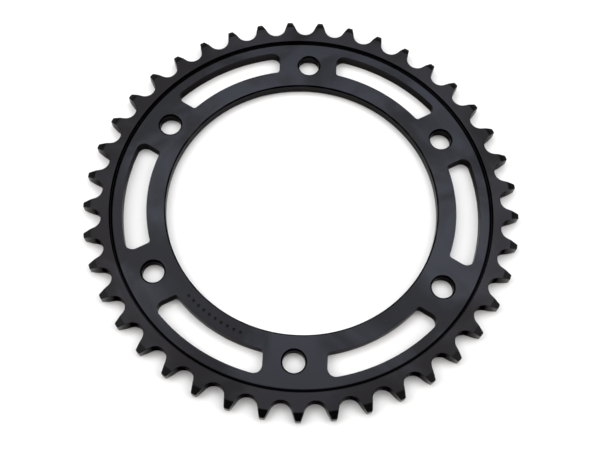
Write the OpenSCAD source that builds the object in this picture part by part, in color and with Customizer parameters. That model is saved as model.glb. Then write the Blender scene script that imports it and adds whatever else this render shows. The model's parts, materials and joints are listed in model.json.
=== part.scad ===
// Rear sprocket for a 5/8 inch roller chain: one machined steel plate.
// It lies flat with its hub face at z = 0, and the Z axis is the wheel axle's line.
// Its back is flat, and its front is turned down inside the toothed rim to a thinner web.

/* [Teeth] */
// Number of teeth
teeth = 41; // [40:1:60]
// Chain pitch, from roller to roller
chain_pitch = 15.875; // [15.75:0.025:16.1]
// Diameter of the chain's rollers
roller_d = 10.16; // [9.8:0.02:10.4]
// Thickness of the toothed rim
rim_t = 7.2; // [7:0.1:7.4]
// Direction of one tooth's centre line
first_tooth_a = 210.25; // [206:0.05:214]
// Height of the tooth tips above the pitch circle
tip_h = 3.7; // [2.8:0.1:4.6]
// Slope of a tooth flank from the centre line of its gap
flank_slope = 22; // [18:0.5:26]
// Radial length of the bevel on both faces of a tooth tip
tip_bevel_l = 3.6; // [2:0.1:4]
// Depth of that bevel below each face
tip_bevel_depth = 1.4; // [1:0.05:2]

/* [Step between web and rim] */
// Width of the solid rim between the tooth roots and the groove
rim_w = 4; // [3:0.1:5.5]
// Width of the turned groove at its mouth
groove_w = 1.65; // [1.2:0.05:2.4]
// Depth of the groove below the web's face
groove_depth = 0.8; // [0.2:0.05:1.5]
// Width of the groove's flat floor
groove_floor_w = 0.15; // [0.1:0.05:0.4]
// Radial width of the steep wall that climbs from the groove to the rim's face
rim_wall_w = 0.35; // [0.2:0.05:0.6]

/* [Web] */
// Thickness of the web between the bore and the groove
web_t = 6; // [5.4:0.1:6.6]
// Diameter of the centre bore, which seats on the hub's spigot
bore_d = 134.4; // [120:0.1:136]
// Chamfer of the bore's two edges
bore_chamfer = 0.7; // [0.2:0.1:1.2]

/* [Bolt holes] */
// Number of bolt holes, with a slot between each two
bolt_count = 6; // [4:1:8]
// Diameter of the bolt circle
bolt_circle_d = 160; // [158:0.5:162]
// Diameter of a bolt hole
bolt_hole_d = 10.6; // [8:0.1:12]
// Chamfer of a bolt hole's two edges
hole_chamfer = 0.8; // [0.2:0.1:1]

/* [Slots] */
// Diameter of the arc along a slot's inner side
slot_inner_d = 153; // [150:0.5:156]
// Diameter of the arc along a slot's outer side
slot_outer_d = 176.8; // [172:0.2:178]
// Width of the straight bridge that carries each bolt hole
bridge_w = 30; // [24:0.5:36]
// Radius of a slot's two outer corners
slot_outer_corner_r = 3.9; // [2:0.1:5]
// Radius of a slot's two inner corners
slot_inner_corner_r = 1.5; // [1:0.1:3]
// Turn of the slots, counter-clockwise, from the middle between two bolt holes
slot_turn_a = 0.35; // [-0.5:0.05:0.5]

/* [Hidden] */
$fn = 96;
COATING = [0.055, 0.057, 0.064];
// How far a cutting shape runs past the face that it cuts
PAST = 1;
// Where an arc runs into another side, they overlap by this much, so that they cross cleanly
OVERLAP = 0.01;
// A roller seat is this much wider than the roller
SEAT_CLEARANCE_RATIO = 1.01;

pitch_r = chain_pitch / (2 * sin(180 / teeth));
seat_r = SEAT_CLEARANCE_RATIO * roller_d / 2;
root_r = pitch_r - seat_r;
tip_r = pitch_r + tip_h;
bore_r = bore_d / 2;
hole_r = bolt_hole_d / 2;
bolt_step = 360 / bolt_count;
tooth_step = 360 / teeth;
first_hole_a = 30;

groove_outer_r = root_r - rim_w;
groove_inner_r = groove_outer_r - groove_w;
groove_floor_r = groove_outer_r - rim_wall_w;
groove_floor_z = web_t - groove_depth;

slot_inner_r = slot_inner_d / 2;
slot_outer_r = slot_outer_d / 2;
bridge_half = bridge_w / 2;
// Distance from the axle to the centre of a corner arc that touches the slot's side
outer_corner_at = slot_outer_r - slot_outer_corner_r;
inner_corner_at = slot_inner_r + slot_inner_corner_r;
// Angle from the bridge's centre line to that corner centre
outer_corner_a = asin((bridge_half + slot_outer_corner_r) / outer_corner_at);
inner_corner_a = asin((bridge_half + slot_inner_corner_r) / inner_corner_at);
// Distances along the bridge where its straight side meets the two corner arcs
side_outer_y = outer_corner_at * cos(outer_corner_a);
side_inner_y = inner_corner_at * cos(inner_corner_a);

function polar(r, a) = [r * cos(a), r * sin(a)];

// Half of the plate's section, from the bore outwards and back along the hub face
SECTION = [
    [bore_r, bore_chamfer],
    [bore_r, web_t - bore_chamfer],
    [bore_r + bore_chamfer, web_t],
    [groove_inner_r, web_t],
    [groove_floor_r - groove_floor_w, groove_floor_z],
    [groove_floor_r, groove_floor_z],
    [groove_outer_r, rim_t],
    [tip_r - tip_bevel_l, rim_t],
    [tip_r, rim_t - tip_bevel_depth],
    [tip_r, tip_bevel_depth],
    [tip_r - tip_bevel_l, 0],
    [bore_r + bore_chamfer, 0]
];

module turned_blank() {
    rotate_extrude()
        polygon(SECTION);
}

// The space that one chain roller drops into, centred on the +X axis
module tooth_gap() {
    seat_a = 90 - flank_slope;
    start_r = seat_r - OVERLAP;
    start = [pitch_r - start_r * cos(seat_a), start_r * sin(seat_a)];
    reach = tip_r + PAST - start[0];
    finish = start + reach * [1, tan(flank_slope)];
    translate([0, 0, -PAST]) {
        translate([pitch_r, 0, 0])
            cylinder(r = seat_r, h = rim_t + 2 * PAST);
        linear_extrude(rim_t + 2 * PAST)
            polygon([start, finish, [finish[0], -finish[1]], [start[0], -start[1]]]);
    }
}

// A plain hole with a conical chamfer at both faces, centred on the Z axis
module bolt_hole() {
    translate([0, 0, -PAST])
        cylinder(r = hole_r, h = web_t + 2 * PAST);
    translate([0, 0, -PAST])
        cylinder(r1 = hole_r + hole_chamfer + PAST, r2 = hole_r, h = PAST + hole_chamfer);
    translate([0, 0, web_t - hole_chamfer])
        cylinder(r1 = hole_r, r2 = hole_r + hole_chamfer + PAST, h = PAST + hole_chamfer);
}

// A wedge from the axle that holds everything between two directions
module wedge(from_a, to_a) {
    far_r = 2 * slot_outer_r;
    mid_a = (from_a + to_a) / 2;
    polygon([[0, 0], polar(far_r, from_a), polar(far_r, mid_a), polar(far_r, to_a)]);
}

// Ring sector between two radii and two directions
module ring_sector(inner_r, outer_r, from_a, to_a) {
    intersection() {
        difference() {
            circle(r = outer_r);
            circle(r = inner_r);
        }
        wedge(from_a, to_a);
    }
}

// Outline of one slot, from the bridge on the +X axis round to the next bridge
module slot_outline() {
    ring_sector(inner_corner_at, slot_outer_r, outer_corner_a, bolt_step - outer_corner_a);
    ring_sector(slot_inner_r, outer_corner_at, inner_corner_a, bolt_step - inner_corner_a);
    for (side = [0, 1]) {
        slot_end(side);
    }
}

// The end of a slot: two corner discs and the block along the bridge's straight side
module slot_end(side) {
    rotate(side * bolt_step)
        mirror([0, side, 0]) {
            translate(polar(outer_corner_at, outer_corner_a))
                circle(r = slot_outer_corner_r + OVERLAP);
            translate(polar(inner_corner_at, inner_corner_a))
                circle(r = slot_inner_corner_r + OVERLAP);
            polygon([
                [side_inner_y, bridge_half],
                [side_outer_y, bridge_half],
                polar(outer_corner_at, outer_corner_a),
                polar(inner_corner_at, inner_corner_a)
            ]);
        }
}

module slot() {
    translate([0, 0, -PAST])
        linear_extrude(web_t + 2 * PAST)
            slot_outline();
}

module sprocket() {
    color(COATING)
        difference() {
            turned_blank();
            for (i = [0:teeth - 1]) {
                rotate(first_tooth_a + (i + 0.5) * tooth_step)
                    tooth_gap();
            }
            for (i = [0:bolt_count - 1]) {
                rotate(first_hole_a + i * bolt_step) {
                    translate([bolt_circle_d / 2, 0, 0])
                        bolt_hole();
                    rotate(slot_turn_a)
                        slot();
                }
            }
        }
}

sprocket();
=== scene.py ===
"""Looks of the rear sprocket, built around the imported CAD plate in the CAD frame.

The plate is rebuilt as a fine mesh from the same turned profile and outlines as the CAD part,
with broken edges, rounded tooth tips and a row of punch marks. Lengths in the shape code are
in millimetres and become metres when the mesh is made.
"""

import json
import math

import bpy
import numpy as np
from mathutils import Matrix, Vector
from mathutils.geometry import delaunay_2d_cdt

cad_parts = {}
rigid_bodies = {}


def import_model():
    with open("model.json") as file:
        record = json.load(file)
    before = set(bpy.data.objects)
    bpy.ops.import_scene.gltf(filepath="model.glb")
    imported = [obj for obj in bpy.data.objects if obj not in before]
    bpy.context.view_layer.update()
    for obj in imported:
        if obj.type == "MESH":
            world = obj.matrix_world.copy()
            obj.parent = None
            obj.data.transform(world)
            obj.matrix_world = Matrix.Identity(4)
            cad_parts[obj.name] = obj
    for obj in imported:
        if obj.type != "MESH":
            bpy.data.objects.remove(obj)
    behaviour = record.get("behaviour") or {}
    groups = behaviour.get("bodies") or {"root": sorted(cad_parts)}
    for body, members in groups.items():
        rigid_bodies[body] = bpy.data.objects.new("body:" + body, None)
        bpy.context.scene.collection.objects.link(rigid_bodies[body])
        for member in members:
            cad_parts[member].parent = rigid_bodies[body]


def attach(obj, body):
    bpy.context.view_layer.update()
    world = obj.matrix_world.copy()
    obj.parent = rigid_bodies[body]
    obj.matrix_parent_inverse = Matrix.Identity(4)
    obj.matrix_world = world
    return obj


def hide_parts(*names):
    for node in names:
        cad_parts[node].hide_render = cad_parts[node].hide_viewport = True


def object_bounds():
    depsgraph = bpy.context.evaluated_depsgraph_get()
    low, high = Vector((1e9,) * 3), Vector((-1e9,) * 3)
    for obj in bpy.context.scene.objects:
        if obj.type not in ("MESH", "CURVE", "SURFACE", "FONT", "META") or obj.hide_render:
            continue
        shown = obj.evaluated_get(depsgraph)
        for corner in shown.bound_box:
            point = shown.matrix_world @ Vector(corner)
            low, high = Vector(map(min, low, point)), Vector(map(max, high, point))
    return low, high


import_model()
cad_low, cad_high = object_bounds()

MM = 0.001
FRONT, BACK = 1, -1

# --- Sizes of the plate, in millimetres and degrees ---------------------------------------

TEETH = 41
PITCH_R = 15.875 / (2 * math.sin(math.pi / TEETH))
SEAT_R = 5.131
ROOT_R = PITCH_R - SEAT_R
TIP_R = PITCH_R + 3.69
FLANK_SLOPE = 22
TIP_ROUND = 0.75
FIRST_TOOTH = 210.25
TOOTH_STEP = 360 / TEETH

FACE_Z = 6
RIM_FRONT_Z = 7.2
RIM_INNER_R = 94.56
GROOVE_INNER_R = 92.91
GROOVE_Z = 5.2
GROOVE_FLOOR = 0.15
RIM_WALL = 0.35
BEVEL_R = PITCH_R + 0.1
BEVEL_LENGTH = 3.6
BEVEL_DEPTH = 1.4

BORE_R = 67.2
BORE_CHAMFER = 0.7
HOLE_R = 5.3
HOLE_CHAMFER = 0.8
BOLT_R = 80
BOLTS = 6
FIRST_HOLE = 30

SLOT_INNER_R = 76.5
SLOT_OUTER_R = 88.4
SLOT_SIDE = 15
SLOT_OUTER_CORNER = 3.9
SLOT_INNER_CORNER = 1.5
SLOT_TURN = 0.35

# How far the edges of the teeth, and of everything else, are broken.
TOOTH_EDGE = 0.32
CUT_EDGE = 0.12

# Points on a full turned circle, a bolt hole, a slot's long arc and a slot's corner.
CIRCLE_STEPS = 492
HOLE_STEPS = 96
SLOT_STEPS = 48
CORNER_STEPS = 10
# Points on half a tooth's tip, the tip's rounded corner, half a roller seat and a crease.
TIP_STEPS = 3
TIP_ROUND_STEPS = 7
SEAT_STEPS = 18
CREASE_STEPS = 8

# Lengths closer than SAME are equal, and triangles with less than SLIVER of area are left out.
SAME = 1e-6
SLIVER = 1e-9
CDT_EPSILON = 1e-7

# The turned faces outwards: radius, height, and how far each corner is rounded. They start
# inside the bore and end past the tips, so that every point of the plate lies on them.
INSIDE_BORE_R = 60
PAST_TIPS_R = BEVEL_R + 2 * BEVEL_LENGTH
FRONT_TURNING = (
    (INSIDE_BORE_R, FACE_Z, 0),
    (GROOVE_INNER_R, FACE_Z, 0.25),
    (RIM_INNER_R - RIM_WALL - GROOVE_FLOOR, GROOVE_Z, 0.07),
    (RIM_INNER_R - RIM_WALL, GROOVE_Z, 0.07),
    (RIM_INNER_R, RIM_FRONT_Z, 0.24),
    (BEVEL_R, RIM_FRONT_Z, 0.25),
    (PAST_TIPS_R, RIM_FRONT_Z - 2 * BEVEL_DEPTH, 0),
)
BACK_TURNING = (
    (INSIDE_BORE_R, 0, 0),
    (BEVEL_R, 0, 0.25),
    (PAST_TIPS_R, 2 * BEVEL_DEPTH, 0),
)

# A row of plain round punch marks on the web, where the real part carries its number.
MARKS = 10
MARK_R = 72.3
MARK_FIRST = 225
MARK_STEP = 2.7
MARK_SIZE = 0.8
MARK_DEPTH = 0.45
MARK_RINGS = (1.0, 0.82, 0.6, 0.3)
MARK_STEPS = 20


def polar(radius, degrees):
    turn = np.radians(degrees)
    return np.column_stack([radius * np.cos(turn), radius * np.sin(turn)])


def unit(vectors):
    return vectors / np.linalg.norm(vectors, axis=-1, keepdims=True)


def rotated(vectors, degrees):
    c, s = math.cos(math.radians(degrees)), math.sin(math.radians(degrees))
    return vectors @ np.array([[c, s], [-s, c]])


# --- Turned profiles ------------------------------------------------------------------------


def rounded(corners, steps=3):
    """Samples a chain of (x, z, rounding) corners; gives rows of x, z and the normal, left of the way."""
    path = np.array([c[:2] for c in corners], float)
    ways = unit(np.diff(path, axis=0))
    rows = []
    for i, (x, z, size) in enumerate(corners):
        if i in (0, len(corners) - 1):
            way = ways[min(i, len(ways) - 1)]
            rows.append((x, z, -way[1], way[0]))
            continue
        start, end = path[i] - size * ways[i - 1], path[i] + size * ways[i]
        for t in np.linspace(0, 1, steps + 1):
            at = (1 - t) ** 2 * start + 2 * t * (1 - t) * path[i] + t**2 * end
            way = unit((1 - t) * ways[i - 1] + t * ways[i])
            rows.append((*at, -way[1], way[0]))
    return np.array(rows)


TURNED = {FRONT: rounded(FRONT_TURNING), BACK: rounded(BACK_TURNING)}


def turned_face(xy, side):
    """Height and outward normal of one turned face at points of the plan."""
    rows = TURNED[side]
    r = np.hypot(xy[:, 0], xy[:, 1])
    z, nr, nz = (np.interp(r, rows[:, 0], rows[:, k]) for k in (1, 2, 3))
    normal = np.column_stack([xy * (nr / r)[:, None], nz]) * side
    return z, unit(normal)


def mark_places():
    return polar(MARK_R, MARK_FIRST + MARK_STEP * np.arange(MARKS))


def face(xy, side):
    """The turned face with the punch marks sunk into the front."""
    z, normal = turned_face(xy, side)
    if side == BACK:
        return z, normal
    for place in mark_places():
        away = xy - place
        share = np.hypot(away[:, 0], away[:, 1]) / MARK_SIZE
        near = share < 1
        z[near] -= MARK_DEPTH * (1 - share[near] ** 2) ** 1.5
        lean = 3 * MARK_DEPTH / MARK_SIZE**2 * (1 - share[near] ** 2) ** 0.5
        normal[near, :2] -= away[near] * lean[:, None]
    return z, unit(normal)


# --- Outlines: points along each cut wall and the direction in which its void lies --------------


def arc(centre, radius, start, end, steps, void_inside):
    normals = polar(1, np.linspace(start, end, steps + 1))
    points = np.asarray(centre) + radius * normals
    return points, -normals if void_inside else normals


def joined(pieces):
    points = np.vstack([p for p, _ in pieces])
    normals = np.vstack([n for _, n in pieces])
    keep = np.hypot(*(points - np.roll(points, 1, axis=0)).T) > SAME
    return points[keep], normals[keep]


def half_tooth():
    """From the middle of a tooth's tip, on the X axis, to the bottom of the gap on its left."""
    turn = 90 - FLANK_SLOPE
    way = polar(1, [turn - 90])[0]
    out = polar(1, [turn])[0]
    start = np.array([PITCH_R, 0]) - SEAT_R * out

    def flank_at(radius, inset):
        """Distance along the flank, moved by inset, at which it crosses a radius."""
        p = start - inset * out
        b = p @ way
        return -b + math.sqrt(b * b - p @ p + radius * radius)

    centre = start - TIP_ROUND * out + flank_at(TIP_R - TIP_ROUND, TIP_ROUND) * way
    length = (centre - start) @ way
    bends = [r for r in TURNED[FRONT][:, 0] if abs(r - BEVEL_R) < 1]
    along = sorted([flank_at(r, TOOTH_EDGE) for r in bends] + [length / 3], reverse=True)
    flank = np.array([start + t * way for t in along])

    gap = TOOTH_STEP / 2
    middle = rotated(centre, gap)
    at = math.degrees(math.atan2(middle[1], middle[0]))
    tip = arc((0, 0), TIP_R, 0, at, TIP_STEPS, False)
    corner = arc(middle, TIP_ROUND, at, gap + turn, TIP_ROUND_STEPS, False)
    side = rotated(flank, gap), np.tile(rotated(out, gap), (len(flank), 1))
    seat = arc((PITCH_R, 0), -SEAT_R, turn, 0, SEAT_STEPS, False)
    seat = rotated(seat[0], gap), rotated(seat[1], gap)
    return joined([tip, corner, side, seat])


def tooth_outline():
    points, normals = half_tooth()
    mirror = np.array([1, -1])
    whole = [np.vstack([(part * mirror)[:0:-1], part[:-1]]) for part in (points, normals)]
    turns = FIRST_TOOTH + TOOTH_STEP * np.arange(TEETH)
    return tuple(np.vstack([rotated(part, a) for a in turns]) for part in whole)


def slot_corner(centre_r, centre_angle, radius, start, end):
    return arc(polar(centre_r, [centre_angle])[0], radius, start, end, CORNER_STEPS, True)


def slot_outline(centre_angle):
    """Outer arc, corner, straight side beside the bolt hole, corner, inner arc, and back again."""
    outer_at = SLOT_OUTER_R - SLOT_OUTER_CORNER
    inner_at = SLOT_INNER_R + SLOT_INNER_CORNER
    half = 180 / BOLTS
    outer = half - math.degrees(math.asin((SLOT_SIDE + SLOT_OUTER_CORNER) / outer_at))
    inner = half - math.degrees(math.asin((SLOT_SIDE + SLOT_INNER_CORNER) / inner_at))
    pieces = [
        arc((0, 0), SLOT_OUTER_R, -outer, outer, SLOT_STEPS, True),
        slot_corner(outer_at, outer, SLOT_OUTER_CORNER, outer, half + 90),
        slot_corner(inner_at, inner, SLOT_INNER_CORNER, half + 90, inner + 180),
        arc((0, 0), SLOT_INNER_R, inner, -inner, SLOT_STEPS, False),
        slot_corner(inner_at, -inner, SLOT_INNER_CORNER, 180 - inner, 270 - half),
        slot_corner(outer_at, -outer, SLOT_OUTER_CORNER, 270 - half, 360 - outer),
    ]
    points, normals = joined(pieces)
    return rotated(points, centre_angle), rotated(normals, centre_angle)


def chamfered(size, edge):
    """Rows of inset, drop, and normal from the face over a chamfer to the wall."""
    rows = rounded([(size + edge, 0, 0), (size, 0, edge), (0, size, edge), (0, size + edge, 0)])
    rows[:, 2:] *= -1
    return rows[1:-1]


def broken(edge, steps=3):
    """The same rows for an edge that is only rounded over."""
    turn = np.radians(np.linspace(0, 90, steps + 1))
    return np.column_stack(
        [edge * (1 - np.sin(turn)), edge * (1 - np.cos(turn)), np.sin(turn), np.cos(turn)]
    )


# --- The plate's mesh -------------------------------------------------------------------------


class PlateMesh:
    """Collects vertices with their normals and masks, and faces."""

    def __init__(self):
        self.points, self.normals, self.faces = [], [], []
        self.cut, self.wear_and_glint = [], []
        self.count = 0

    def add(self, xyz, normals, cut=0.0, wear_and_glint=0.0):
        ids = np.arange(self.count, self.count + len(xyz))
        self.points.append(xyz)
        self.normals.append(normals)
        self.cut.append(np.full(len(xyz), cut))
        self.wear_and_glint.append(np.full(len(xyz), wear_and_glint))
        self.count += len(xyz)
        return ids

    def band(self, upper, lower, flip):
        """Quads between two closed rings of vertices."""
        for a, b, c, d in zip(upper, lower, np.roll(lower, -1), np.roll(upper, -1)):
            self.faces.append((a, d, c, b) if flip else (a, b, c, d))


class TurnedFace:
    """Triangulates one turned face between its outlines."""

    def __init__(self, mesh, side):
        self.mesh, self.side = mesh, side
        self.xy, self.ids, self.edges, self.borders = [], [], [], []
        self.count = 0

    def chain(self, xy, ids=None, closed=True):
        if ids is None:
            z, normals = face(xy, self.side)
            ids = self.mesh.add(np.column_stack([xy, z]), normals)
        first, last = self.count, self.count + len(xy)
        self.xy.append(xy)
        self.ids.append(ids)
        steps = [(k, k + 1) for k in range(first, last - 1)]
        self.edges += steps + [(last - 1, first)] * closed
        self.count = last

    def border(self, xy, ids):
        self.chain(xy, ids)
        self.borders.append(xy)

    def inside(self, points):
        """Whether each point lies on the plate: an odd number of borders to one side of it."""
        starts = np.vstack(self.borders)
        ends = np.vstack([np.roll(b, -1, axis=0) for b in self.borders])
        odd = np.zeros(len(points), bool)
        for (x0, y0), (x1, y1) in zip(starts, ends):
            spans = (points[:, 1] > y0) != (points[:, 1] > y1)
            if spans.any():
                cross = x0 + (points[spans, 1] - y0) * (x1 - x0) / (y1 - y0)
                odd[spans] ^= points[spans, 0] < cross
        return odd

    def fill(self):
        xy, ids = np.vstack(self.xy), np.concatenate(self.ids)
        made = delaunay_2d_cdt([Vector(p) for p in xy], self.edges, [], 0, CDT_EPSILON)
        if len(made[0]) != len(xy):
            raise ValueError("two outlines of a turned face cross")
        back = np.array([origin[0] for origin in made[3]])
        triangles = back[np.array(made[2])]
        a, b, c = (xy[triangles[:, k]] for k in range(3))
        area = (b[:, 0] - a[:, 0]) * (c[:, 1] - a[:, 1]) - (b[:, 1] - a[:, 1]) * (c[:, 0] - a[:, 0])
        turned = area * self.side < 0
        triangles[turned] = triangles[turned][:, ::-1]
        keep = self.inside((a + b + c) / 3) & (abs(area) > SLIVER)
        self.mesh.faces += [tuple(t) for t in ids[triangles[keep]]]


def cut_wall(mesh, faces, outline, shape):
    """A wall through the plate: rings from the front face over its edge, down, and out to the back."""
    points, normals = outline
    way = points[1] - points[0]
    flip = way[0] * normals[0, 1] - way[1] * normals[0, 0] > 0
    rings = []
    for side, rows in ((FRONT, shape), (BACK, shape[::-1])):
        for inset, drop, out, up in rows:
            xy = points - inset * normals
            z, face_normals = face(xy, side)
            lean = np.column_stack([normals * out, np.zeros(len(xy))]) + face_normals * up
            at_face = drop < SAME
            # Mask for edge wear and the painted edge highlight: strongest halfway round an edge, none on
            # the faces.
            wear_and_glint = 0.0 if at_face else 1.0 - 0.6 * abs(out - up)
            ids = mesh.add(np.column_stack([xy, z - side * drop]), unit(lean), min(out, 1.0), wear_and_glint)
            if at_face:
                faces[side].border(xy, ids)
            rings.append(ids)
    for upper, lower in zip(rings, rings[1:]):
        mesh.band(upper, lower, flip)


def build_plate():
    mesh = PlateMesh()
    faces = {side: TurnedFace(mesh, side) for side in (FRONT, BACK)}
    cut_wall(mesh, faces, tooth_outline(), broken(TOOTH_EDGE))
    bore = arc((0, 0), BORE_R, 0, 360, CIRCLE_STEPS, True)
    cut_wall(mesh, faces, joined([bore]), chamfered(BORE_CHAMFER, CUT_EDGE))
    for k in range(BOLTS):
        turn = FIRST_HOLE + 360 / BOLTS * k
        hole = arc(polar(BOLT_R, [turn])[0], HOLE_R, 0, 360, HOLE_STEPS, True)
        cut_wall(mesh, faces, joined([hole]), chamfered(HOLE_CHAMFER, CUT_EDGE))
        cut_wall(mesh, faces, slot_outline(turn - 180 / BOLTS + SLOT_TURN), broken(CUT_EDGE))

    circle = polar(1, np.linspace(0, 360, CIRCLE_STEPS, endpoint=False))
    for side, turned in faces.items():
        for radius in np.unique(TURNED[side][1:-1, 0]):
            if radius < ROOT_R:
                turned.chain(circle * radius)
            else:
                add_creases(turned, radius)
    for place in mark_places():
        for share in MARK_RINGS:
            ring = polar(MARK_SIZE * share, np.linspace(0, 360, MARK_STEPS, endpoint=False))
            faces[FRONT].chain(place + ring)
        faces[FRONT].chain(place[None, :], closed=False)
    for turned in faces.values():
        turned.fill()
    return mesh


def add_creases(turned, radius):
    """Joins the two flanks of every tooth along one radius of the bevel's crease."""
    outline = turned.borders[0]
    hits = np.where(abs(np.hypot(outline[:, 0], outline[:, 1]) - radius) < SAME)[0]
    per_tooth = len(outline) // TEETH
    for k in range(TEETH):
        right, left = [h for h in hits if h // per_tooth == k]
        start, end = (math.degrees(math.atan2(*outline[h][::-1])) for h in (right, left))
        end = start + (end - start) % 360
        inner = polar(radius, np.linspace(start, end, CREASE_STEPS)[1:-1])
        first = turned.count
        turned.chain(inner, closed=False)
        turned.edges += [(right, first), (first + len(inner) - 1, left)]


def plate_object():
    plate = build_plate()
    mesh = bpy.data.meshes.new("sprocket_plate")
    corners = [[int(k) for k in corner_ids] for corner_ids in plate.faces]
    mesh.from_pydata((np.vstack(plate.points) * MM).tolist(), [], corners)
    mesh.shade_smooth()
    mesh.normals_split_custom_set_from_vertices(np.vstack(plate.normals).tolist())
    for name, values in (("cut", plate.cut), ("wear_and_glint", plate.wear_and_glint)):
        mask = mesh.attributes.new(name, "FLOAT", "POINT")
        mask.data.foreach_set("value", np.concatenate(values))
    piece = bpy.data.objects.new("sprocket_plate", mesh)
    bpy.context.collection.objects.link(piece)
    return piece


# --- Materials --------------------------------------------------------------------------------


# Moves the cloudy pattern to another place in the same noise.
CLOUD_SHIFT = (-0.55, 2.57, 0.88)


class Nodes:
    """Short calls for making a material's nodes. Values may be numbers, colours or sockets."""

    def __init__(self, name):
        self.material = bpy.data.materials.new(name)
        self.material.use_nodes = True
        self.tree = self.material.node_tree
        self.shader = self.tree.nodes["Principled BSDF"]

    def link(self, source, target):
        self.tree.links.new(source, target)

    def add(self, kind, inputs=None, **settings):
        node = self.tree.nodes.new(kind)
        for key, value in settings.items():
            setattr(node, key, value)
        for key, value in (inputs or {}).items():
            if isinstance(value, bpy.types.NodeSocket):
                self.link(value, node.inputs[key])
            else:
                node.inputs[key].default_value = value
        return node

    def math(self, operation, *values):
        return self.add("ShaderNodeMath", dict(enumerate(values)), operation=operation).outputs[0]

    def vector_math(self, operation, *values):
        return self.add("ShaderNodeVectorMath", dict(enumerate(values)), operation=operation)

    def noise(self, vector, scale, detail, roughness=0.5, distortion=0.0):
        shape = {"Detail": detail, "Roughness": roughness, "Distortion": distortion}
        node = self.add("ShaderNodeTexNoise", {"Vector": vector, "Scale": scale, **shape})
        return node.outputs["Fac"]

    def ramp(self, value, low, high):
        """A smooth step from 0 at low to 1 at high."""
        ends = {"Value": value, "From Min": low, "From Max": high}
        node = self.add("ShaderNodeMapRange", ends, interpolation_type="SMOOTHSTEP")
        return node.outputs["Result"]

    def mix(self, share, a, b):
        """Mixes two colours; the colour mix's sockets are number 0, 6 and 7."""
        return self.add("ShaderNodeMix", {0: share, 6: a, 7: b}, data_type="RGBA").outputs[2]

    def attribute(self, name):
        return self.add("ShaderNodeAttribute", attribute_name=name).outputs["Fac"]


def black_coating():
    """Thin satin black finish: cloudy in tone, with painted light and shade zone by zone on the cut
    walls, tooth bevels and chamfers, and rubbed edges that also carry a painted highlight.
    """
    n = Nodes("black_coating")
    place = n.add("ShaderNodeTexCoord").outputs["Object"]
    cut = n.attribute("cut")
    grain = n.noise(place, 900, detail=2)
    radius = n.vector_math("LENGTH", place).outputs["Value"]
    zones = coating_zones(n, radius, cut)
    n.link(tone_with_painted_light(n, place, radius, grain, zones), n.shader.inputs["Base Color"])
    n.link(sheen_with_painted_light(n, radius, zones), n.shader.inputs["Specular Tint"])
    n.shader.inputs["Metallic"].default_value = 1.0

    gloss = n.math("MULTIPLY_ADD", grain, 0.08, 0.27)
    gloss = n.math("MULTIPLY_ADD", cut, -0.08, gloss)
    n.link(gloss, n.shader.inputs["Roughness"])

    # Noise that hardly changes along the axle makes upright cutter marks on the walls.
    flat = n.vector_math("MULTIPLY", place, (1, 1, 0.06)).outputs[0]
    streaks = n.math("MULTIPLY", n.noise(flat, 1400, detail=1), cut)
    height = n.math("ADD", n.math("MULTIPLY", grain, 0.4), streaks)
    bump = n.add("ShaderNodeBump", {"Strength": 0.25, "Distance": 0.03 * MM, "Height": height})
    n.link(bump.outputs["Normal"], n.shader.inputs["Normal"])
    return n.material


def coating_zones(n, radius, cut):
    """Masks of the plate's parts, from the distance to the axle and from how far a face is cut."""
    # The root mask is the band from the tooth roots up the flanks, where painted shade goes on the walls.
    near_root = n.ramp(radius, 96.0 * MM, 97.5 * MM)
    below_flank = n.ramp(radius, 103.0 * MM, 99.5 * MM)
    return {
        "wall": n.ramp(cut, 0.1, 0.4),
        "chamfer": n.math("MULTIPLY", n.ramp(cut, 0.5, 0.65), n.ramp(cut, 0.9, 0.75)),
        "outside_bore": n.ramp(radius, 70 * MM, 75 * MM),
        "root": n.math("MULTIPLY", near_root, below_flank),
    }


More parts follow.
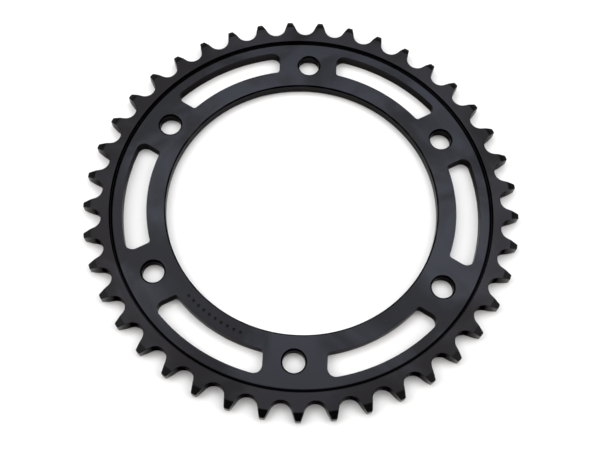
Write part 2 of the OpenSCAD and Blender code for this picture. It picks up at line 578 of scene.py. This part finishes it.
def tone_with_painted_light(n, place, radius, grain, zones):
    moved = n.vector_math("ADD", place, CLOUD_SHIFT).outputs[0]
    clouds = n.noise(moved, 19, detail=4, roughness=0.55, distortion=0.8)
    cloud = n.ramp(clouds, 0.42, 0.6)
    face_tone = n.mix(cloud, (0.0130, 0.0130, 0.0148, 1), (0.0220, 0.0228, 0.0275, 1))
    rim_tone = n.mix(cloud, (0.0120, 0.0112, 0.0122, 1), (0.0190, 0.0185, 0.0212, 1))
    tone = n.mix(n.ramp(radius, 93.8 * MM, 94.6 * MM), face_tone, rim_tone)
    # Painted shade: the tooth-tip bevels, and all beyond them, get a darker tone than the face, standing
    # for the darker light their slope catches.
    bevel = n.ramp(radius, (BEVEL_R - 0.2) * MM, (BEVEL_R + 0.2) * MM)
    tone = n.mix(bevel, tone, (0.0072, 0.0069, 0.0074, 1))

    # The cut walls' own grainy tone.
    wall_tone = n.mix(grain, (0.0092, 0.0089, 0.0089, 1), (0.0120, 0.0115, 0.0115, 1))
    # Painted light: every wall beyond the bore, the slots' and bolt holes' among them, is made lighter
    # than the bore's wall.
    wall_tone = n.mix(zones["outside_bore"], wall_tone, (0.0180, 0.0174, 0.0174, 1))
    # Painted shade: the walls at the bottom of the tooth gaps are made much darker.
    wall_tone = n.mix(zones["root"], wall_tone, (0.0055, 0.0047, 0.0046, 1))
    # Painted reflection: the walls grow much lighter up the flanks to the tooth tips, standing for the
    # bright floor they mirror.
    tip = n.ramp(radius, 101.0 * MM, 105.5 * MM)
    wall_tone = n.mix(tip, wall_tone, (0.0900, 0.0895, 0.0890, 1))
    tone = n.mix(zones["wall"], tone, wall_tone)
    # Painted shade: faces leaning about halfway between face and wall, chiefly the chamfers of the bore
    # and the bolt holes, are made nearly black.
    tone = n.mix(zones["chamfer"], tone, (0.0020, 0.0019, 0.0020, 1))

    # Partly wear, partly painted highlight: lighter patches along the rounded edges.
    tone = n.mix(rubbed_and_highlit_edges(n, place, radius, zones), tone, (0.10, 0.097, 0.094, 1))
    specks = n.ramp(n.noise(place, 700, detail=1), 0.77, 0.82)
    return n.mix(n.math("MULTIPLY", specks, 0.25), tone, (0.1, 0.1, 0.1, 1))


def rubbed_and_highlit_edges(n, place, radius, zones):
    """Where the coating is worn thin, with a painted highlight in the same places: patches along the
    edges, but not on the teeth.
    """
    patches = n.ramp(n.noise(place, 150, detail=3), 0.4, 0.7)
    rub = n.math("MULTIPLY", n.ramp(n.attribute("wear_and_glint"), 0.3, 1.0), patches)
    rub = n.math("MULTIPLY", rub, n.math("MULTIPLY_ADD", zones["chamfer"], -0.2, 0.35))
    return n.math("MULTIPLY", rub, n.ramp(radius, 97.5 * MM, 95.5 * MM))


def sheen_with_painted_light(n, radius, zones):
    """How bright the finish looks at a grazing angle: the coating's own dim grazing reflection, with
    painted shade and painted highlight zone by zone.
    """
    # Painted shade: less grazing reflection beyond the bore, on the walls at the bottom of the tooth gaps
    # and on the chamfers. Painted highlight: more on the tooth tips.
    sheen = n.mix(zones["outside_bore"], (0.65, 0.65, 0.65, 1), (0.44, 0.435, 0.435, 1))
    root_wall = n.math("MULTIPLY", zones["root"], zones["wall"])
    sheen = n.mix(root_wall, sheen, (0.27, 0.25, 0.25, 1))
    sheen = n.mix(n.ramp(radius, 105.0 * MM, 106.5 * MM), sheen, (0.72, 0.70, 0.69, 1))
    return n.mix(zones["chamfer"], sheen, (0.25, 0.25, 0.25, 1))


def floor_material():
    n = Nodes("studio_floor")
    n.shader.inputs["Base Color"].default_value = (0.90, 0.90, 0.90, 1)
    n.shader.inputs["Roughness"].default_value = 0.9
    n.shader.inputs["Specular IOR Level"].default_value = 0.0
    return n.material


# --- Studio -----------------------------------------------------------------------------------

FLOOR_SIZE = 20.0
# The floor lies a hair below the plate, so that the two faces never coincide.
FLOOR_DROP = 0.03 * MM
LIGHT_DISTANCE = 3.0
WARM = (1.0, 0.985, 0.975)
COOL = (0.96, 0.98, 1.0)


def studio_floor():
    mesh = bpy.data.meshes.new("floor")
    h = FLOOR_SIZE / 2
    z = cad_low.z - FLOOR_DROP
    mesh.from_pydata([(-h, -h, z), (h, -h, z), (h, h, z), (-h, h, z)], [], [(0, 1, 2, 3)])
    floor = bpy.data.objects.new("floor", mesh)
    bpy.context.collection.objects.link(floor)
    mesh.materials.append(floor_material())


def softbox(name, azimuth, elevation, size, power, colour=(1, 1, 1)):
    """A rectangular light facing the plate. Azimuth 0 is beyond the plate as the camera sees it."""
    data = bpy.data.lights.new(name, "AREA")
    data.shape = "RECTANGLE"
    data.size, data.size_y = size
    data.energy = power
    data.color = colour
    light = bpy.data.objects.new(name, data)
    a, e = math.radians(azimuth), math.radians(elevation)
    away = Vector((math.sin(a) * math.cos(e), math.cos(a) * math.cos(e), math.sin(e)))
    light.location = LIGHT_DISTANCE * away
    light.rotation_euler = away.to_track_quat("Z", "Y").to_euler()
    bpy.context.collection.objects.link(light)


def studio_lights():
    softbox("overhead_panel", 0, 90, (1.6, 1.6), 7)
    softbox("sky_panel", 0, 64, (1.83, 1.17), 27, COOL)
    softbox("left_panel", -90, 50, (2.3, 2.93), 70, WARM)
    softbox("right_panel", 90, 50, (2.3, 2.93), 60, WARM)
    for name, azimuth, power in (("far", 0, 19), ("far_left", -45, 22.5), ("far_right", 45, 17)):
        softbox(name + "_panel", azimuth, 13, (2.3, 1.06), power)
    world = bpy.data.worlds.new("studio")
    world.use_nodes = True
    background = world.node_tree.nodes["Background"]
    background.inputs["Color"].default_value = (1, 1, 1, 1)
    background.inputs["Strength"].default_value = 0.10
    bpy.context.scene.world = world


# The camera circles the middle of the web's front face.
CAMERA_DISTANCE = 440.9
CAMERA_ELEVATION = 65.475
CAMERA_AZIMUTH = -1.02
CAMERA_PAN = 0.03
CAMERA_TILT = 1.424
CAMERA_ROLL = -4.04
CAMERA_LENS = 53.51


def studio_camera():
    data = bpy.data.cameras.new("camera")
    data.sensor_width = 36
    data.lens = CAMERA_LENS
    data.clip_start, data.clip_end = 0.01, 20
    camera = bpy.data.objects.new("camera", data)
    bpy.context.collection.objects.link(camera)
    away = Matrix.Translation((0, 0, CAMERA_DISTANCE * MM))
    down = Matrix.Rotation(math.radians(90 - CAMERA_ELEVATION), 4, "X")
    round_axle = Matrix.Rotation(math.radians(CAMERA_AZIMUTH), 4, "Z")
    pan = Matrix.Rotation(math.radians(CAMERA_PAN), 4, "Y")
    tilt = Matrix.Rotation(math.radians(-CAMERA_TILT), 4, "X")
    roll = Matrix.Rotation(math.radians(-CAMERA_ROLL), 4, "Z")
    lift = Matrix.Translation((0, 0, FACE_Z * MM))
    camera.matrix_world = lift @ round_axle @ down @ away @ pan @ tilt @ roll
    bpy.context.scene.camera = camera


plate = plate_object()
plate.data.materials.append(black_coating())
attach(plate, "root")
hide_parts("sprocket")

studio_floor()
studio_lights()
studio_camera()
bpy.context.scene.view_settings.view_transform = "Standard"
